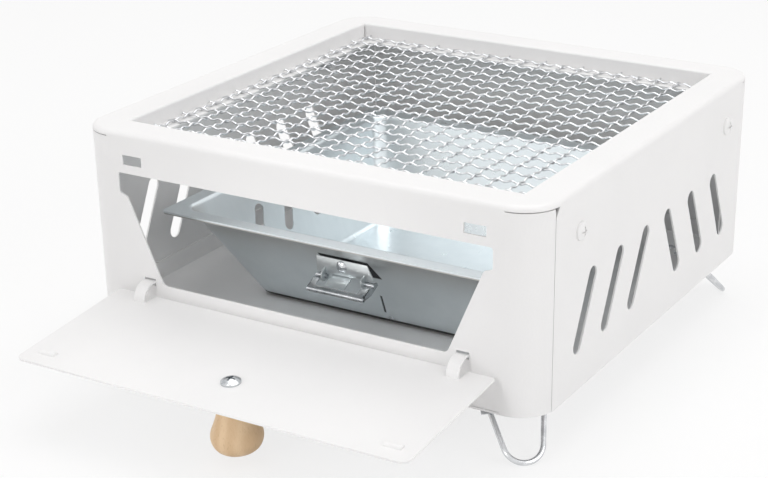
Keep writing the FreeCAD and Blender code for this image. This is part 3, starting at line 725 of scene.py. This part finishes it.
pull = {
    "pivot": (40.94, 34.61),
    "droop": 27.0,
    "sheet": 0.8,
    "edge": 0.12,
    "edgeSteps": 2,
    "fold": 0.5,
    "plateFront": 40.6,
    "plate": ((-15.4, 36.9), (20.3, 36.9), (20.3, 38.6), (16.6, 45.6), (-15.4, 45.8)),
    "ears": (-10.6, 14.4),
    "ear": ((41.0, 40.2), (36.9, 37.6), (36.9, 33.2), (38.6, 32.0), (43.6, 32.0), (44.4, 33.0),
            (44.4, 36.6), (41.0, 37.4)),
    "tongue": ((-5.8, -0.4), (6.6, -0.4), (6.6, 7.6), (-5.8, 7.6)),
    "tongueTop": 1.6,
    "bossFront": 41.1,
    "bossBack": 45.2,
    "bossRadius": 3.0,
    "left": -15.0,
    "right": 20.6,
    "top": 2.3,
    "start": 4.1,
    "reach": 11.2,
    "gap": 0.35,
    "bar": 2.2,
    "cheek": ((11.2, -0.2), (4.5, -2.8), (-3.4, -2.8), (-3.6, -1.0), (-1.2, 0.6), (1.4, 0.6), (2.8, 1.3),
              (3.9, 2.3), (11.2, 2.3)),
    "rollRadius": 1.5,
    "rollSides": 24,
    "rollBore": 0.5,
    "rollDepth": 4.0,
    "pinRadius": 1.45,
    "pinSides": 20,
    "pins": ((-15.7, -9.1), (21.3, 13.7)),
}

rivet = {
    "place": (0.6, 42.0),
    "radius": 3.3,
    "rise": 1.3,
    "rim": 0.15,
    "sink": 0.4,
    "rings": 6,
    "steps": 28,
    "groove": (4.4, 1.6, 0.8),
    "grooveTurn": 38,
}


def flatPlate(shape, corners, step):
    # corners are the points of one face, and step goes through the sheet
    face = shape.faces.new([shape.verts.new(corner) for corner in corners])
    swept = bmesh.ops.extrude_face_region(shape, geom=[face], use_keep_orig=True)
    moved = sweptVerts(swept)
    bmesh.ops.translate(shape, vec=step, verts=moved)
    faces = {f for v in moved for f in v.link_faces} | {face}
    bmesh.ops.recalc_face_normals(shape, faces=list(faces))
    edges = list({e for f in faces for e in f.edges if e.calc_face_angle(0) > pull["fold"]})
    bent(shape, edges, pull["edge"], pull["edgeSteps"])


def onPull(x, reach, rise):
    # a point of the folding frame: reach forwards from its pivot and rise above it, along the droop
    droop = math.radians(pull["droop"])
    y, z = pull["pivot"]
    return at(x, y - reach * math.cos(droop) - rise * math.sin(droop),
              z - reach * math.sin(droop) + rise * math.cos(droop))


def rod(shape, start, end, radius, sides):
    # the wall of a rod: its two end rings come back open, to be closed or hollowed
    ahead = end - start
    place = Matrix.Translation(start) @ ahead.to_track_quat("Z", "Y").to_matrix().to_4x4()
    made = bmesh.ops.create_circle(shape, cap_ends=False, segments=sides, radius=radius / 1000, matrix=place)
    swept = bmesh.ops.extrude_edge_only(shape, edges=edgesOf(made["verts"]))
    moved = sweptVerts(swept)
    bmesh.ops.translate(shape, vec=ahead, verts=moved)
    return made["verts"], moved


def closeEnd(shape, ring):
    bmesh.ops.holes_fill(shape, edges=edgesOf(ring, openOnly=True), sides=0)


def hollowEnd(shape, ring, centre, inwards):
    inner = sweptVerts(bmesh.ops.extrude_edge_only(shape, edges=edgesOf(ring, openOnly=True)))
    share = pull["rollBore"]
    bmesh.ops.scale(shape, vec=(share, share, share), verts=inner, space=Matrix.Translation(-centre))
    deep = sweptVerts(bmesh.ops.extrude_edge_only(shape, edges=edgesOf(inner, openOnly=True)))
    bmesh.ops.translate(shape, vec=inwards.normalized() * pull["rollDepth"] / 1000, verts=deep)
    closeEnd(shape, deep)


def makePlate():
    shape = bmesh.new()
    front = pull["plateFront"]
    flatPlate(shape, [at(x, front, z) for x, z in pull["plate"]], metres(0, pull["sheet"], 0))
    for ear in pull["ears"]:
        flatPlate(shape, [at(ear, y, z) for y, z in pull["ear"]], metres(pull["sheet"], 0, 0))
    down = onPull(0, 0, 0) - onPull(0, 0, pull["sheet"])
    flatPlate(shape, [onPull(x, reach, pull["tongueTop"]) for x, reach in pull["tongue"]], down)
    x, z = rivet["place"]
    for ring in rod(shape, at(x, pull["bossFront"], z), at(x, pull["bossBack"], z), pull["bossRadius"],
                    pull["pinSides"]):
        closeEnd(shape, ring)
    piece = shaded(newObject("pullPlate", shape))
    finished(piece, "pan", "zinc_sheet", "pan_handle_plate")


def makePull():
    shape = bmesh.new()
    left, right, start, reach = pull["left"], pull["right"], pull["start"], pull["reach"]
    inner = reach - pull["bar"]
    leftArm = pull["ears"][0] - pull["gap"]
    rightArm = pull["ears"][1] + pull["sheet"] + pull["gap"]
    outline = ((left, start), (leftArm, start), (leftArm, inner), (rightArm, inner), (rightArm, start),
               (right, start), (right, reach), (left, reach))
    down = onPull(0, 0, 0) - onPull(0, 0, pull["sheet"])
    flatPlate(shape, [onPull(x, y, pull["top"]) for x, y in outline], down)
    for side in (left, right - pull["sheet"]):
        flatPlate(shape, [onPull(side, y, rise) for y, rise in pull["cheek"]], metres(pull["sheet"], 0, 0))
    rise = pull["top"] - pull["rollRadius"]
    leftEnd, rightEnd = onPull(left, reach, rise), onPull(right, reach, rise)
    leftRing, rightRing = rod(shape, leftEnd, rightEnd, pull["rollRadius"], pull["rollSides"])
    hollowEnd(shape, leftRing, leftEnd, rightEnd - leftEnd)
    hollowEnd(shape, rightRing, rightEnd, leftEnd - rightEnd)
    piece = shaded(newObject("pullFrame", shape))
    finished(piece, "pull", "plated_steel", "pan_pull")


def makeRivet():
    # a low dome from its rim to the axis, with a slot across it
    radius, rise, rim = rivet["radius"], rivet["rise"], rivet["rim"]
    ball = (radius ** 2 + rise ** 2) / (2 * rise)
    profile = [Vector((radius, 0, -rivet["sink"])), Vector((radius, 0, rim))]
    for k in range(1, rivet["rings"] + 1):
        turn = math.asin(radius / ball) * (1 - k / rivet["rings"])
        profile.append(Vector((ball * math.sin(turn), 0, rim + rise - ball * (1 - math.cos(turn)))))
    shape = bmesh.new()
    spunRound(shape, profile, rivet["steps"], 0.0001)
    x, z = rivet["place"]
    ahead = Vector((0, -1, 0)).to_track_quat("Z", "Y").to_matrix().to_4x4()
    place = Matrix.Translation(at(x, pull["plateFront"], z)) @ ahead @ Matrix.Scale(0.001, 4)
    bmesh.ops.transform(shape, matrix=place, verts=shape.verts[:])
    bmesh.ops.recalc_face_normals(shape, faces=shape.faces[:])
    piece = newObject("plateRivet", shape)
    groove = bmesh.new()
    middle = Matrix.Translation(at(x, pull["plateFront"] - rise, z))
    turn = Matrix.Rotation(math.radians(rivet["grooveTurn"]), 4, "Y")
    size = Matrix.Diagonal((*metres(*rivet["groove"]), 1))
    bmesh.ops.create_cube(groove, size=1, matrix=middle @ turn @ size)
    cutAway(piece, [newObject("grooveCutter", groove)])
    shaded(piece)
    finished(piece, "pan", "plated_steel", "pan_handle_rivet")


def makePins():
    shape = bmesh.new()
    y, z = pull["pivot"]
    for outer, inner in pull["pins"]:
        for ring in rod(shape, at(outer, y, z), at(inner, y, z), pull["pinRadius"], pull["pinSides"]):
            closeEnd(shape, ring)
    piece = shaded(newObject("pullPins", shape))
    finished(piece, "pull", "plated_steel", "pull_pins")


makePlate()
makePull()
makeRivet()
makePins()
print("pull drawn")


# Knob, turned round an axis square to the door, which hangs a little below level

knob = {
    "reach": 60.0,
    "face": 0.3,
    "droop": 4.9,
    "hinge": (-1.6, 19.8),
    "profile": ((0.0, 0.0), (8.6, 0.0), (9.0, 0.5), (8.5, 2.6), (7.9, 6.0), (7.9, 9.0), (8.5, 13.4),
                (9.7, 18.0), (11.6, 22.8), (13.3, 26.4), (13.8, 28.8), (13.6, 31.4), (12.6, 34.2),
                (10.8, 36.3), (7.6, 37.7), (3.5, 38.1), (0.0, 38.1)),
    "steps": 48,
}


def makeKnob():
    shape = bmesh.new()
    profile = [metres(radius, 0, -depth) for radius, depth in knob["profile"]]
    spunRound(shape, profile, knob["steps"], 0.00001)
    bmesh.ops.recalc_face_normals(shape, faces=shape.faces[:])
    bmesh.ops.translate(shape, vec=metres(0, -knob["reach"], knob["face"]), verts=shape.verts)
    turn = Matrix.Rotation(math.radians(knob["droop"]), 3, "X")
    bmesh.ops.rotate(shape, cent=(0, 0, 0), matrix=turn, verts=shape.verts)
    bmesh.ops.translate(shape, vec=at(0, *knob["hinge"]), verts=shape.verts)
    piece = newObject("turnedKnob", shape)
    rounder = piece.modifiers.new("rounder", "SUBSURF")
    rounder.levels = 1
    rounder.render_levels = 1
    piece.data.shade_smooth()
    finished(piece, "door", "beech", "knob")


makeKnob()
print("knob turned")
